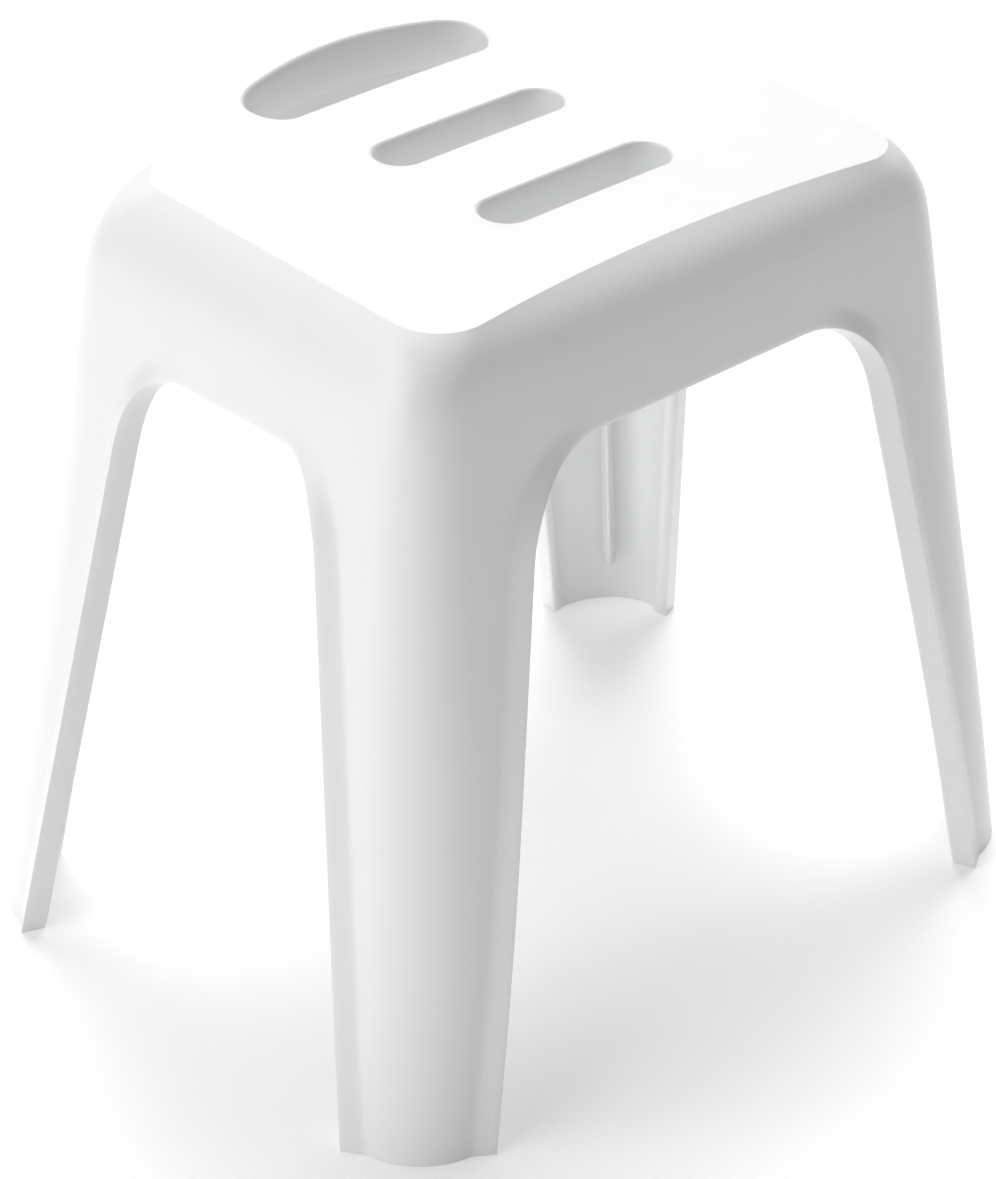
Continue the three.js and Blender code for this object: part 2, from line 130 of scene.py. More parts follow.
FIN_DEPTH = 10.0
FIN_ROOT = 8.4                  # the fins are this thick at the wall
FIN_EDGE = 2.2                  # and this thick at their free edge
FIN_END_DEPTH = 3.0
FIN_FOOT_SLOPE = 0.5            # their depth grows this fast above the foot
FIN_HEAD_SLOPE = 0.7            # and this fast below the head
RIB_EDGE = 1.6
RIB_END_DEPTH = 0.35            # share of a cross rib's depth that is left at its ends
RIB_END_RUN = 14.0              # and it is full this far from them
SUNK = 0.6                      # fins and ribs are sunk into the wall by this much


def ease(low, high, value):
    """0 below low, 1 above high, and a smooth step between."""
    t = min(1.0, max(0.0, (value - low) / (high - low)))
    return t * t * (3.0 - 2.0 * t)


# ---------------------------------------------------------------- the seat's plane

seat_mount = next(m for m in frame["record"]["mounts"] if m["name"] == "seat_top")
SEAT_HEIGHT = seat_mount["pos_m"][2] / MM
SEAT_SLOPE = -seat_mount["axis"][1] / seat_mount["axis"][2]


def seat_lift(y):
    """How far the seat stands above its mid height at a depth y."""
    sweep = max(0.0, y - BOW_START)
    return SEAT_SLOPE * y + BOW_SWEEP * sweep * sweep


def seat_top(y):
    """The seat's height on its middle line. crowned() brings down its sides."""
    return SEAT_HEIGHT + seat_lift(y)


def seat_slope(y):
    """How fast the seat climbs toward the back at a depth y."""
    return SEAT_SLOPE + 2.0 * BOW_SWEEP * max(0.0, y - BOW_START)


def seat_under(y):
    """The seat's underside, a wall's thickness below the top, square to its slope."""
    return seat_top(y) - WALL * math.hypot(1.0, seat_slope(y))


def crowned(point):
    """A point of the moulding, lowered with the seat's sides and with the bow's ends."""
    x, y, z = point
    sweep = BOW_SWEEP * max(0.0, y - BOW_START) ** 2
    fall = (CROWN + sweep) * (x / CROWN_HALF) ** 2
    return x, y, z - fall * ease(*CROWN_HEIGHTS, z)


# ---------------------------------------------------------------- the outer skin

def cubic_through(knots, values, end_slope):
    """Second derivatives of the smooth curve through the rows of values.

    The curve is free at its first knot, and leaves the last with end_slope."""
    count = len(knots)
    gaps = np.diff(knots)
    slopes = np.diff(values, axis=0) / gaps[:, None]
    matrix = np.eye(count)
    wanted = np.zeros_like(values)
    for i in range(1, count - 1):
        matrix[i, i - 1:i + 2] = gaps[i - 1], 2.0 * (gaps[i - 1] + gaps[i]), gaps[i]
        wanted[i] = 6.0 * (slopes[i] - slopes[i - 1])
    matrix[-1, -2:] = gaps[-1], 2.0 * gaps[-1]
    wanted[-1] = 6.0 * (end_slope - slopes[-1])
    return np.linalg.solve(matrix, wanted)


TABLE_STEPS = 1200
CORNER_STEPS = 17
TURN_STEP = 0.004               # steps for measuring the skin's directions
RISE_STEP = 0.1
LIFT_ROUNDS = 4                 # rounds that settle a height before the seat's slope lifts it

# How far each section lies up the skin, measured along the front.
section_rise = np.concatenate(([0.0], np.cumsum(np.hypot(
    np.diff(SECTIONS[:, HEIGHT]), np.diff(SECTIONS[:, FRONT])))))
TOP_RISE = section_rise[-1]

crest_slope = (SECTIONS[-1] - SECTIONS[-2]) / (section_rise[-1] - section_rise[-2])
section_bend = cubic_through(section_rise, SECTIONS, crest_slope)


@functools.lru_cache(maxsize=None)
def section(rise):
    """The section's measures at a distance up the skin."""
    i = int(np.clip(np.searchsorted(section_rise, rise) - 1, 0, len(section_rise) - 2))
    gap = section_rise[i + 1] - section_rise[i]
    a = (section_rise[i + 1] - rise) / gap
    b = 1.0 - a
    bent = (a ** 3 - a) * section_bend[i] + (b ** 3 - b) * section_bend[i + 1]
    return a * SECTIONS[i] + b * SECTIONS[i + 1] + bent * gap * gap / 6.0


rise_table = np.linspace(0.0, TOP_RISE, TABLE_STEPS)
height_table = np.array([section(r)[HEIGHT] for r in rise_table])


def rise_at(height):
    """The rise of a height on the skin."""
    return float(np.interp(height, height_table, rise_table))


def corner_point(start, knee, end, t):
    """A point on the rounded corner from start to end about a knee."""
    near = start + (knee - start) * QUARTER
    far = end + (knee - end) * QUARTER
    s = 1.0 - t
    return s ** 3 * start + 3 * s * s * t * near + 3 * s * t * t * far + t ** 3 * end


@functools.lru_cache(maxsize=None)
def plan(rise):
    """The anchor points of half the plan outline at one rise."""
    m = section(rise)
    bend = (m[BACK] - m[BACK_END]) / (m[HALF] ** 2 * SIDE_GROWTH)

    def side(y):
        return np.array((m[HALF] + m[WIDEN] * y, y))

    def back(x):
        return np.array((x, m[BACK] - bend * x * x))

    front_knee = side(-m[FRONT])
    front_end = front_knee - (m[FRONT_ROUND], 0.0)
    side_start = side(m[FRONT_ROUND] - m[FRONT])
    back_start = back(m[HALF] - m[BACK_ROUND])
    fall = -2.0 * bend * back_start[0]
    knee_x = side(back_start[1] + fall * m[BACK_ROUND])[0]
    back_knee = np.array((knee_x, back_start[1] + fall * (knee_x - back_start[0])))
    side_end = side(back_knee[1] - m[BACK_ROUND])

    def length(start, knee, end):
        shares = np.linspace(0.0, 1.0, CORNER_STEPS)
        run = [corner_point(start, knee, end, t) for t in shares]
        return sum(np.linalg.norm(q - p) for p, q in zip(run, run[1:]))

    return {
        "front_end": front_end, "front_knee": front_knee, "side_start": side_start,
        "front_bow": m[FRONT_BOW],
        "side_end": side_end, "back_knee": back_knee, "back_start": back_start, "back": back,
        "front_arc": length(front_end, front_knee, side_start),
        "back_arc": length(side_end, back_knee, back_start),
    }


def outline(turn, rise):
    """The plan point at a turn round half the outline.

    0 to 1 is the front, 1 to 2 its corner, 2 to 3 the side, 3 to 4 the back corner and
    4 to 5 the back."""
    p = plan(rise)
    if turn <= 1.0:
        bow = p["front_bow"] * (1.0 - turn * turn)
        return np.array((turn * p["front_end"][0], p["front_end"][1] + bow))
    if turn <= 2.0:
        return corner_point(p["front_end"], p["front_knee"], p["side_start"], turn - 1.0)
    if turn <= 3.0:
        return p["side_start"] + (p["side_end"] - p["side_start"]) * (turn - 2.0)
    if turn <= 4.0:
        return corner_point(p["side_end"], p["back_knee"], p["back_start"], turn - 3.0)
    return p["back"]((5.0 - turn) * p["back_start"][0])


def surface(turn, rise):
    """The outer skin's point at a turn and a rise."""
    x, y = outline(turn, rise)
    height = section(rise)[HEIGHT]
    return np.array((x, y, height + seat_lift(y) * ease(*SEAT_EASE, height)))


@functools.lru_cache(maxsize=None)
def skin_point(turn, rise):
    """The outer skin's point, and the direction that its wall's thickness runs in.

    That direction is level down the legs, so that they stand flat on the floor. At the
    seat's edge it is the mitre between the skin's wall and the seat's, except along the
    back, where the hand hole's collar takes up that room."""
    here = surface(turn, rise)
    along = surface(turn + TURN_STEP, rise) - surface(turn - TURN_STEP, rise)
    low = max(0.0, rise - RISE_STEP)
    high = min(TOP_RISE, rise + RISE_STEP)
    up = surface(turn, high) - surface(turn, low)
    out = np.cross(along, up)
    out /= np.linalg.norm(out)
    out[2] *= ease(*WALL_EASE, section(rise)[HEIGHT])
    if turn in (0.0, 5.0):
        here[0] = out[0] = 0.0
    out /= np.linalg.norm(out)
    if rise == TOP_RISE:
        deck = np.array((0.0, -seat_slope(here[1]), 1.0))
        deck /= np.linalg.norm(deck)
        mitre = (out + deck) / (1.0 + out @ deck)
        out = mitre + (deck - mitre) * ease(*MITRE_FADE, turn)
    return here, out


def wall_point(place, out):
    """A point standing off the outer skin by out, negative inward."""
    here, direction = skin_point(*place)
    point = here + direction * out
    if place[1] == TOP_RISE and out == -WALL:
        point[2] = seat_under(point[1])
    return point


# ---------------------------------------------------------------- the openings' edges

LEG_HEIGHTS = (0.0, 0.4, 1.2, 2.4, 4.0, 7.0, *np.linspace(12.0, KNEE_HEIGHT, 26))
LEG_ROWS = len(LEG_HEIGHTS) - 1
ARCH_ROWS = 14
CROWN_ROWS = 4
LEG_TOP_ROW = LEG_ROWS + ARCH_ROWS // 2     # the legs' grids end halfway round the arch
FRAME_STEPS = (12.5, 10.6, 9.0, 6.0, 3.0, 0.6)
TIP_ROUND = 0.7


def edge_run(foot, knee, crown, top):
    """Half an opening's edge from the floor to the middle of its crown.

    Each row is a distance from the opening's middle, a height, the direction away from
    the opening, and how much of the flare is left."""
    rows = []
    lean = (foot - knee) / KNEE_HEIGHT
    for height in LEG_HEIGHTS:
        tilt = lean * ease(KNEE_HEIGHT - KNEE_BLEND, KNEE_HEIGHT, height)
        away = np.array((1.0, tilt)) / math.hypot(1.0, tilt)
        rows.append((foot - lean * height, height, away, 1.0))

    reach = (top - KNEE_HEIGHT) * ARCH_HANDLES[0]
    a = np.array((knee, KNEE_HEIGHT))
    b = np.array((knee - lean * reach, KNEE_HEIGHT + reach))
    c = np.array((crown + (knee - crown) * ARCH_HANDLES[1], top))
    d = np.array((crown, top))
    for i in range(1, ARCH_ROWS + 1):
        t = i / ARCH_ROWS
        s = 1.0 - t
        at = s ** 3 * a + 3 * s * s * t * b + 3 * s * t * t * c + t ** 3 * d
        run = s * s * (b - a) + 2 * s * t * (c - b) + t * t * (d - c)
        away = np.array((run[1], -run[0])) / np.linalg.norm(run)
        rows.append((at[0], at[1], away, 1.0 - ease(*FLARE_FADE, t)))

    for i in range(1, CROWN_ROWS + 1):
        rows.append((crown * (1.0 - i / CROWN_ROWS), top, np.array((0.0, 1.0)), 0.0))
    return rows


FRONT_DEPTH = section(rise_at(FRONT_OPENING["top"]))[FRONT]
BACK_DEPTH = section(rise_at(BACK_OPENING["top"]))[BACK]


def skin_place(face, along, height):
    """(turn, rise) of a point on one face, given across that face and by true height."""
    if face == "side":
        lift = seat_lift(along)
    else:
        lift = seat_lift(-FRONT_DEPTH if face == "front" else BACK_DEPTH)
    drawn = height
    for _ in range(LIFT_ROUNDS):
        drawn = height - lift * ease(*SEAT_EASE, drawn)
    rise = rise_at(drawn)
    p = plan(rise)
    if face == "front":
        straight = p["front_end"][0]
        if along <= straight:
            return along / straight, rise
        return 1.0 + (along - straight) / p["front_arc"], rise
    if face == "back":
        straight = p["back_start"][0]
        if along <= straight:
            return 5.0 - along / straight, rise
        return 4.0 - (along - straight) / p["back_arc"], rise
    start, end = p["side_start"][1], p["side_end"][1]
    if along < start:
        return 2.0 - (start - along) / p["front_arc"], rise
    if along > end:
        return 3.0 + (along - end) / p["back_arc"], rise
    return 2.0 + (along - start) / (end - start), rise


def flare_at(distance):
    """How far the flange stands off the skin at a distance from the opening's edge."""
    into = max(0.0, FLARE_WIDTH - distance)
    run = into - FLARE_BLEND / 2.0 if into > FLARE_BLEND else into * into / (2.0 * FLARE_BLEND)
    return FLARE * run / (FLARE_WIDTH - FLARE_BLEND / 2.0)


class Edge:
    """One side of an opening: its edge, the skin beside it, and the lip returned from it."""

    def __init__(self, face, opening, way, lip, middle=0.0):
        self.rows = []
        self.loop = []
        for distance, height, away, flare in edge_run(**opening):
            def place(step):
                across = middle + way * (distance + away[0] * step)
                return skin_place(face, across, height + away[1] * step)

            below = max(0.0, 1.0 - height / BEAD_FOOT)
            bead = BEAD_FOOT_DEPTH + (1.0 - BEAD_FOOT_DEPTH) * math.sqrt(1.0 - below * below)
            self.loop.append(place(FRAME_STEPS[0]))
            self.rows.append(self.lip_section(place, flare, bead, **lip))

    @staticmethod
    def lip_section(place, flare, bead, tilt, bead_end):
        """The section across the edge, from the outer skin round the lip to the inner skin.

        bead is how much of the bead's depth stands at this height."""
        edge, out = skin_point(*place(0.0))
        beside, _ = skin_point(*place(1.0))
        away = (beside - edge) / np.linalg.norm(beside - edge)
        tip = flare * flare_at(0.0)

        def standing(across, depth):
            return edge + away * across + out * depth

        points = [wall_point(place(step), flare * flare_at(step)) for step in FRAME_STEPS]
        points.append(standing(0.12, tip - TIP_ROUND * 0.35))
        points.append(standing(-tilt * TIP_ROUND, tip - TIP_ROUND * 1.15))
        flat_end = -tilt * (tip - LIP_FLAT_END)
        for share in (0.35, 0.7, 1.0):
            depth = tip + (LIP_FLAT_END - tip) * share
            points.append(standing(-tilt * (tip - depth), depth))
        centre = (flat_end + BEAD_BACK) / 2.0
        spread = (BEAD_BACK - flat_end) / 2.0
        reach = (bead_end - LIP_FLAT_END) * bead
        for i in range(1, 10):
            angle = math.pi * i / 10
            points.append(standing(centre - spread * math.cos(angle),
                                   LIP_FLAT_END + reach * math.sin(angle)))
        points.append(standing(BEAD_BACK + 0.5, LIP_FLAT_END + 0.1))
        points.append(wall_point(place(BEAD_FILLET_END), -WALL - 0.35))
        points.append(wall_point(place(FRAME_STEPS[0]), -WALL))
        return points


# ---------------------------------------------------------------- collecting the surface

class Surface:
    """Points in millimetres and faces, gathered patch by patch."""

    def __init__(self):
        self.points = []
        self.faces = []

    def add(self, points, faces):
        base = len(self.points)
        self.points.extend(points)
        self.faces.extend([base + i for i in face] for face in faces)

    def patch(self, rows):
        """Quads between neighbouring rows of points."""
        width = len(rows[0])
        faces = [(r * width + c, r * width + c + 1, (r + 1) * width + c + 1, (r + 1) * width + c)
                 for r in range(len(rows) - 1) for c in range(width - 1)]
        self.add([p for row in rows for p in row], faces)

    def mirrored(self):
        """This surface and its mirror image across the seat's middle plane."""
        count = len(self.points)
        whole = Surface()
        whole.points = list(self.points) + [np.asarray(p) * MIRROR for p in self.points]
        whole.faces = list(self.faces)
        whole.faces += [[count + i for i in reversed(face)] for face in self.faces]
        return whole

    def piece(self, name, sharp_degrees=38.0):
        """A welded, smooth-shaded object in the frame's metres."""
        mesh = bpy.data.meshes.new(name)
        placed = (crowned(p) for p in self.points)
        mesh.from_pydata([(x * MM, (y - SEAT_CENTRE_Y) * MM, z * MM) for x, y, z in placed],
                         [], self.faces)
        work = bmesh.new()
        work.from_mesh(mesh)
        bmesh.ops.remove_doubles(work, verts=work.verts, dist=WELD_DISTANCE)
        bmesh.ops.recalc_face_normals(work, faces=work.faces)
        work.to_mesh(mesh)
        work.free()
        mesh.shade_smooth()
        mesh.set_sharp_from_angle(angle=math.radians(sharp_degrees))
        obj = bpy.data.objects.new(name, mesh)
        bpy.context.scene.collection.objects.link(obj)
        return obj


# ---------------------------------------------------------------- legs and apron

LEG_SPANS = 18
LEG_SAMPLES = 49                # points that a leg's width is measured with
APRON_ROWS = 9
CREST_ROWS = 14
CREST_HEIGHT = 390.0


def leg_row(start, end):
    """Places spread evenly across a leg between two places."""
    start, end = np.array(start), np.array(end)
    shares = np.linspace(0.0, 1.0, LEG_SAMPLES)
    run = np.array([surface(*(start + (end - start) * t)) for t in shares])
    lengths = np.concatenate(([0.0], np.cumsum(np.linalg.norm(np.diff(run, axis=0), axis=1))))
    even = np.interp(np.linspace(0.0, lengths[-1], LEG_SPANS + 1), lengths, shares)
    even[0], even[-1] = 0.0, 1.0
    return [tuple(start + (end - start) * t) for t in even]


def both_walls(shell, places):
    """The outer skin over a grid of places, and the inner skin behind it."""
    for out in (0.0, -WALL):
        shell.patch([[wall_point(p, out) for p in row] for row in places])


def leg(shell, first, second):
    """The leg between two openings' edges, with its foot. Returns its top row of places."""
    rows = [leg_row(first.loop[i], second.loop[i]) for i in range(LEG_TOP_ROW + 1)]
    both_walls(shell, rows)
    foot = rows[0]
    shell.patch([[wall_point(p, 0.0) for p in foot], [wall_point(p, -WALL) for p in foot]])
    for edge in (first, second):
        lip = edge.rows[0]
        shell.add(lip, [range(len(lip))])
    return rows[-1]


def apron_places(base):
    """Columns of places from the legs and the crowns up to the seat's edge."""
    crest = rise_at(CREST_HEIGHT)
    levels = [np.linspace(low, crest, APRON_ROWS + 1)[:-1] for _, low in base]
    rows = []
    for i in range(APRON_ROWS):
        rows.append([(turn, low if i == 0 else float(level[i]))
                     for (turn, low), level in zip(base, levels)])
    for rise in (*np.linspace(crest, TOP_RISE, CREST_ROWS + 1)[:-1], TOP_RISE):
        rows.append([(turn, float(rise)) for turn, _ in base])
    return rows


# ---------------------------------------------------------------- holes and their collars

def hole_from(node):
    """Half width, front and back of the hole that a collar lines, in the drawing."""
    low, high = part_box(node)
    return (high.x / MM - COLLAR_WALL, low.y / MM + SEAT_CENTRE_Y + COLLAR_WALL,
            high.y / MM + SEAT_CENTRE_Y - COLLAR_WALL)


def cubic_run(a, b, c, d, count):
    """Points along a cubic after its start."""
    a, b, c, d = (np.array(p, float) for p in (a, b, c, d))
    run = []
    for i in range(1, count + 1):
        t = i / count
        s = 1.0 - t
        run.append(s ** 3 * a + 3 * s * s * t * b + 3 * s * t * t * c + t ** 3 * d)
    return run


def slot_outline(node):
    """Half of a drain slot, from its near side round its end to its far side."""
    half, near, far = hole_from(node)
    radius = (far - near) / 2.0
    centre = np.array((half - radius, (near + far) / 2.0))
    points = [np.array((centre[0] * i / 5, near)) for i in range(5)]
    for i in range(19):
        angle = math.pi * (i / 18 - 0.5)
        points.append(centre + radius * np.array((math.cos(angle), math.sin(angle))))
    points += [np.array((centre[0] * i / 5, far)) for i in range(4, -1, -1)]
    return points


def hand_outline(node):
    """Half of the hand hole: straight in front, bowed behind, with a rounded end."""
    half, front, back = hole_from(node)
    straight = half - HAND_FRONT_ROUND[0]
    side = front + HAND_FRONT_ROUND[1]
    shoulder = half - HAND_SHOULDER
    shoulder_y = back - shoulder ** 2 / HAND_BEND
    points = [np.array((straight * i / 6, front)) for i in range(7)]
    points += cubic_run((straight, front), (straight + 9.0, front), (half, front + 9.0),
                        (half, side), 9)
    points += cubic_run((half, side), (half, side + 8.0), (shoulder + 8.0, shoulder_y - 3.4),
                        (shoulder, shoulder_y), 9)
    for i in range(9, -1, -1):
        x = shoulder * i / 10
        points.append(np.array((x, back - x * x / HAND_BEND)))
    return points


def grown(points, amount):
    """The half outline moved outward, its two ends staying on the middle plane."""
    grown_points = []
    for i, here in enumerate(points):
        before = points[i - 1] if i else here * (-1.0, 1.0) - (1e-3, 0.0)
        after = points[i + 1] if i + 1 < len(points) else here * (-1.0, 1.0) - (1e-3, 0.0)
        run = after - before
        out = np.array((run[1], -run[0])) / np.linalg.norm(run)
        if i in (0, len(points) - 1):
            out[0] = 0.0
            out /= np.linalg.norm(out)
        grown_points.append(here + out * amount)
    return grown_points


def collar_section(root):
    """The collar's section: how far outside the hole, and how far below the seat.

    It ends root below the underside, where a chamfer of that size takes over."""
    section_points = []
    for i in range(7):
        angle = math.pi / 2 * i / 6
        section_points.append((RIM_ROUND * (1.0 - math.sin(angle)),
                               RIM_ROUND * (1.0 - math.cos(angle))))
    radius = COLLAR_WALL / 2.0
    section_points += [(0.0, 9.0), (0.0, 17.0), (0.0, COLLAR_FOOT - radius)]
    for i in range(1, 6):
        angle = math.pi * i / 6
        section_points.append((radius * (1.0 - math.cos(angle)),
                               COLLAR_FOOT - radius + radius * math.sin(angle)))
    section_points += [(COLLAR_WALL, COLLAR_FOOT - radius), (COLLAR_WALL, 16.0),
                       (COLLAR_WALL, WALL + root)]
    return section_points


def collar(shell, points, root):
    """A hole's rounded rim and collar. Returns the loops that meet top and underside."""
    rows = []
    for out, drop in collar_section(root):
        rows.append([np.array((p[0], p[1], seat_top(p[1]) - drop)) for p in grown(points, out)])
    under = grown(points, COLLAR_WALL + root)
    rows.append([np.array((p[0], p[1], seat_under(p[1]))) for p in under])
    shell.patch(rows)
    return rows[0], rows[-1]


# ---------------------------------------------------------------- the seat's two faces

DECK_GRID = 9.0
DECK_COLUMNS = range(1, 18)
DECK_ROWS = range(-13, 18)
DECK_CLEARANCE = 0.62           # no grid point is nearer to an edge than this share of a step
SLIVER = 1e-3                   # triangles thinner than this lie along a straight edge


def inside(point, loop):
    """Whether a plan point lies inside a closed loop."""
    x, y = point
    odd = False
    for (ax, ay), (bx, by) in zip(loop, loop[1:] + loop[:1]):
        if (ay > y) != (by > y) and x < ax + (bx - ax) * (y - ay) / (by - ay):
            odd = not odd
    return odd


def seat_face(shell, border, loops, height):
    """Fills between the seat's edge and the holes with triangles at the given height.

    border runs from the front to the back. The loops run from front to back too, the
    rearmost first."""
    loop = [(float(p[0]), float(p[1])) for p in border]
    for hole in loops:
        loop += [(float(p[0]), float(p[1])) for p in reversed(hole)]

    closed = []
    for (ax, ay), (bx, by) in zip(loop, loop[1:] + loop[:1]):
        closed.append((ax, ay))
        if ax == 0.0 and bx == 0.0:
            count = max(1, round(abs(by - ay) / DECK_GRID))
            closed += [(0.0, ay + (by - ay) * i / count) for i in range(1, count)]

    edge = np.array(closed)
    extra = []
    for i in DECK_COLUMNS:
        for j in DECK_ROWS:
            spot = np.array((i * DECK_GRID, j * DECK_GRID))
            clear = np.min(np.linalg.norm(edge - spot, axis=1)) > DECK_CLEARANCE * DECK_GRID
            if clear and inside(spot, closed):
                extra.append(tuple(spot))
    count = len(closed)
    rim = [(i, (i + 1) % count) for i in range(count)]
    plan_points = [Vector(p) for p in closed + extra]
    points, _, faces, *_ = delaunay_2d_cdt(plan_points, rim, [], 1, 1e-7, False)

    def wanted(face):
        a, b, c = (points[i] for i in face)
        return abs((b - a).cross(c - a)) > SLIVER and inside((a + b + c) / 3.0, closed)

    shell.add([np.array((p[0], p[1], height(p[1]))) for p in points], filter(wanted, faces))


# ---------------------------------------------------------------- blades: fins and ribs

def blade(stations):
    """A plain stiffener swept along stations of (root, depth run, side run, depth, root
    width, edge width), with a rounded free edge and closed ends."""
    rows = []
    for root, down, side, depth, root_width, edge_width in stations:
        half_root, half_edge = root_width / 2.0, edge_width / 2.0
        row = [root - side * half_root]
        for i in range(7):
            angle = math.pi * i / 6
            row.append(root + down * (depth - half_edge + half_edge * math.sin(angle))
                       - side * half_edge * math.cos(angle))
        row.append(root + side * half_root)
        rows.append(row)
    shape = Surface()
    shape.patch([row + row[:1] for row in rows])
    shape.add(rows[0], [range(len(rows[0]))])
    shape.add(rows[-1], [range(len(rows[-1]))])
    return shape


def fin(name, turn, sign):
    """The stiffening fin up the inside of one leg's corner, mirrored if sign is negative."""
    low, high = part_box(f"leg_{name}")
    foot, head = low.z / MM, high.z / MM
    stations = []
    for share in (0.0, 0.006, 0.018, 0.04, *np.linspace(0.1, 0.9, 17), 0.94, 0.97, 0.99, 1.0):
        height = foot + (head - foot) * share
        place = (turn, rise_at(height))
        here, out = skin_point(*place)
        level = np.array((out[0], out[1], 0.0)) / math.hypot(out[0], out[1])
        side = np.array((-level[1], level[0], 0.0))
        from_foot, to_head = height - foot, head - height
        depth = min(FIN_DEPTH, FIN_END_DEPTH + from_foot * FIN_FOOT_SLOPE,
                    FIN_END_DEPTH + to_head * FIN_HEAD_SLOPE)
        root = here - level * (WALL - SUNK)
        stations.append((root, -level, side, depth + SUNK, FIN_ROOT, FIN_EDGE))
    shape = blade(stations)
    if sign < 0:
        shape.points = [p * MIRROR for p in shape.points]
    return shape.piece(name)


def rib(node):
    """A straight rib under the seat, as long as its CAD node, with swept-up ends."""
    low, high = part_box(node)
    low = np.array(low) / MM + (0.0, SEAT_CENTRE_Y, 0.0)
    high = np.array(high) / MM + (0.0, SEAT_CENTRE_Y, 0.0)
    middle = (low + high) / 2.0
    across = high[0] - low[0] > high[1] - low[1]
    axis = 0 if across else 1
    side = np.array((0.0, 1.0, 0.0)) if across else np.array((1.0, 0.0, 0.0))
    depth = seat_under(middle[1]) - low[2] if across else seat_under(low[1]) - low[2]
    width = high[1 - axis] - low[1 - axis]
    stations = []
    for share in (0.0, 0.01, 0.03, 0.06, 0.1, 0.25, 0.5, 0.75, 0.9, 0.94, 0.97, 0.99, 1.0):
        root = middle.copy()
        root[axis] = low[axis] + (high[axis] - low[axis]) * share
        root[2] = seat_under(root[1]) + SUNK
        to_end = min(share, 1.0 - share) * (high[axis] - low[axis])
        reach = depth
        if across:
            reach *= RIB_END_DEPTH + (1.0 - RIB_END_DEPTH) * ease(0.0, RIB_END_RUN, to_end)
        stations.append((root, np.array((0.0, 0.0, -1.0)), side, reach + SUNK, width, RIB_EDGE))
    return blade(stations).piece(node.replace("seat_rib", "rib"))


# ---------------------------------------------------------------- finishes

class Value:
    """A number that a shader works out, so that shader sums read as plain sums."""

    def __init__(self, finish, socket):
        self.finish = finish
        self.socket = socket

    def __add__(self, other):
        return self.finish.sum("ADD", self, other)

    def __mul__(self, other):
        return self.finish.sum("MULTIPLY", self, other)

    __radd__ = __add__
    __rmul__ = __mul__


class Finish:
    """A surface finish under construction."""

    def __init__(self, name):
        self.material = bpy.data.materials.new(name)
        self.material.use_nodes = True
        self.tree = self.material.node_tree
        self.shader = self.tree.nodes["Principled BSDF"]

    def node(self, kind, settings=None, inputs=None):
        """Any node: its settings first, then the values or links of its sockets."""
        made = self.tree.nodes.new(kind)
        for key, value in (settings or {}).items():
            setattr(made, key, value)
        for key, value in (inputs or {}).items():
            self.feed(made.inputs[key], value)
        return made

    def feed(self, socket, value):
        """Links a socket to a value or another socket, or sets it to a constant."""
        if isinstance(value, Value):
            value = value.socket
        if isinstance(value, bpy.types.NodeSocket):
            self.tree.links.new(value, socket)
        else:
            socket.default_value = value

    def sum(self, operation, first, second):
        """The result of a sum on two numbers or values."""
        made = self.node("ShaderNodeMath", {"operation": operation}, {0: first, 1: second})
        return Value(self, made.outputs[0])

    def place(self):
        """The surface's own coordinates, in metres."""
        return self.node("ShaderNodeTexCoord").outputs["Object"]

    def cloud(self, scale, detail):
        """Soft noise about one half, with this many features to the metre."""
        made = self.node("ShaderNodeTexNoise", inputs={
            "Vector": self.place(), "Scale": scale, "Detail": detail, "Roughness": 0.5})
        return Value(self, made.outputs[0])

    def between(self, low, high, factor):
        """A colour mixed from low to high by a factor."""
        made = self.node("ShaderNodeMix", {"data_type": "RGBA"}, {
            "Factor": factor, "A": (*low, 1.0), "B": (*high, 1.0)})
        return made.outputs["Result"]

    def surface(self, **inputs):
        """The finished material, with its shader's sockets fed by name."""
        for name, value in inputs.items():
            self.feed(self.shader.inputs[name.replace("_", " ").title()], value)
        return self.material


WHITE_LOW = (0.785, 0.790, 0.792)
WHITE_HIGH = (0.815, 0.820, 0.822)
REFRACTION = 1.49


def polypropylene(name, roughness):
    """White moulded polypropylene: smooth, with a little uneven gloss and the slight
    greying that thick white plastic shows."""
    finish = Finish(name)
    flow = finish.cloud(14.0, 2.0)
    cloudiness = finish.cloud(30.0, 3.0)
    finish.shader.inputs["IOR"].default_value = REFRACTION
    return finish.surface(
        base_color=finish.between(WHITE_LOW, WHITE_HIGH, cloudiness),
        roughness=roughness + 0.06 * flow,
    )


outer_white = polypropylene("polished_polypropylene", 0.26)
inner_white = polypropylene("inner_polypropylene", 0.36)


def make(piece, finish, nodes):
    """Gives a piece its finish and its place in the frame."""
    piece.data.materials.append(finish)
    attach(piece, "root")
    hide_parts(*nodes)


# ---------------------------------------------------------------- building the stool

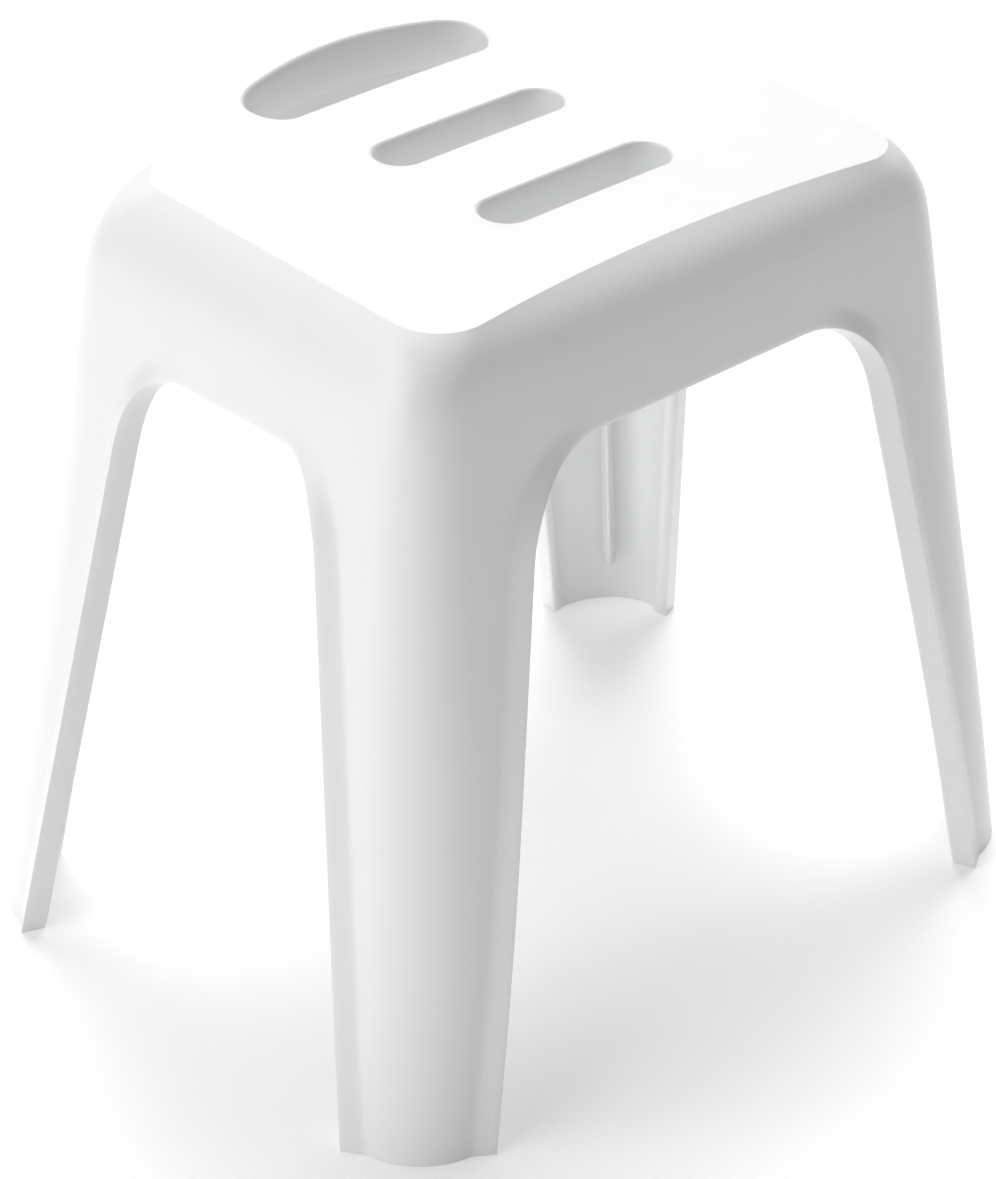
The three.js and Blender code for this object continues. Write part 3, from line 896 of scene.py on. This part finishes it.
def build_moulding():
    """The whole moulding as one closed mesh: legs, aprons, seat, collars and lips."""
    front = Edge("front", FRONT_OPENING, 1, LIP)
    side_near = Edge("side", SIDE_OPENING, -1, LIP, SIDE_MIDDLE)
    side_far = Edge("side", SIDE_OPENING, 1, LIP, SIDE_MIDDLE)
    back = Edge("back", BACK_OPENING, 1, BACK_LIP)
    shell = Surface()
    for edge in (front, side_near, side_far, back):
        shell.patch(edge.rows)
    front_top = leg(shell, front, side_near)
    back_top = leg(shell, side_far, back)

    base = front.loop[:LEG_TOP_ROW:-1] + front_top
    base += side_near.loop[LEG_TOP_ROW + 1:]
    base += side_far.loop[-2:LEG_TOP_ROW:-1] + back_top
    base += back.loop[LEG_TOP_ROW + 1:]
    places = apron_places(base)
    both_walls(shell, places)

    top_border = [wall_point(p, 0.0) for p in places[-1]]
    under_border = [wall_point(p, -WALL) for p in places[-1]]
    top_loops, under_loops = [], []
    holes = (
        (hand_outline("hand_hole_collar"), 0.5),
        (slot_outline("far_slot_collar"), 1.5),
        (slot_outline("near_slot_collar"), 1.5),
    )
    for points, root in holes:
        top_loop, under_loop = collar(shell, points, root)
        top_loops.append(top_loop)
        under_loops.append(under_loop)
    seat_face(shell, top_border, top_loops, seat_top)
    seat_face(shell, under_border, under_loops, seat_under)
    return shell.mirrored().piece("stool_moulding", 30.0)


moulding = build_moulding()
make(moulding, outer_white, (
    "seat_deck", "front_apron", "back_grip_apron", "left_apron", "right_apron",
    "leg_front_left", "leg_front_right", "leg_back_left", "leg_back_right",
    "near_slot_collar", "far_slot_collar", "hand_hole_collar"))

for corner, turn in (("front", FRONT_CORNER), ("back", BACK_CORNER)):
    for side, sign in (("left", -1), ("right", 1)):
        fin_name = f"fin_{corner}_{side}"
        make(fin(fin_name, turn, sign), inner_white, [f"leg_{fin_name}"])

for rib_node in sorted(n for n in frame["nodes"] if n.startswith("seat_rib")):
    make(rib(rib_node), inner_white, [rib_node])


# ---------------------------------------------------------------- floor, light and camera

FLOOR_HALF = 6000.0
AMBIENT = 0.24                  # the same even glow comes from all round and from the floor
LIGHT_AIM = Vector((0.0, 0.0, 0.25))
LIGHT_DISTANCE = 3.0
NO_TINT = (1.0, 1.0, 1.0, 1.0)

sheet = Surface()
sheet.add([(-FLOOR_HALF, -FLOOR_HALF, 0.0), (FLOOR_HALF, -FLOOR_HALF, 0.0),
           (FLOOR_HALF, FLOOR_HALF, 0.0), (-FLOOR_HALF, FLOOR_HALF, 0.0)], [(0, 1, 2, 3)])
floor = sheet.piece("floor")
floor.data.materials.append(Finish("pale_floor").surface(
    base_color=(0.90, 0.90, 0.90, 1.0), roughness=0.9,
    emission_color=NO_TINT, emission_strength=AMBIENT))


def soft_light(name, toward, size, power):
    """A square soft box, size metres wide, shining on the stool from a direction."""
    light = bpy.data.lights.new(name, "AREA")
    light.shape = "SQUARE"
    light.size = size
    light.energy = power
    lamp = bpy.data.objects.new(name, light)
    direction = Vector(toward).normalized()
    lamp.location = LIGHT_AIM + direction * LIGHT_DISTANCE
    lamp.rotation_euler = direction.to_track_quat("Z", "Y").to_euler()
    bpy.context.scene.collection.objects.link(lamp)


soft_light("overhead", (0.34, 0.34, 1.0), size=2.0, power=98.0)
soft_light("left_wall", (-1.0, 0.18, 0.32), size=2.6, power=50.0)

world = bpy.data.worlds.new("studio")
world.use_nodes = True
background = world.node_tree.nodes["Background"]
background.inputs["Color"].default_value = NO_TINT
background.inputs["Strength"].default_value = AMBIENT
bpy.context.scene.world = world
bpy.context.scene.view_settings.view_transform = "Standard"

VIEW_AZIMUTH = -42.19
VIEW_ELEVATION = 31.87
VIEW_FROM = (-1.1192, -1.2202, 1.2025)
camera_data = bpy.data.cameras.new("camera")
camera_data.lens = 111.63
camera_data.sensor_width = 36.0
camera = bpy.data.objects.new("camera", camera_data)
camera.location = VIEW_FROM
camera.rotation_euler = (math.radians(90.0 - VIEW_ELEVATION), 0.0, math.radians(VIEW_AZIMUTH))
bpy.context.scene.collection.objects.link(camera)
bpy.context.scene.camera = camera
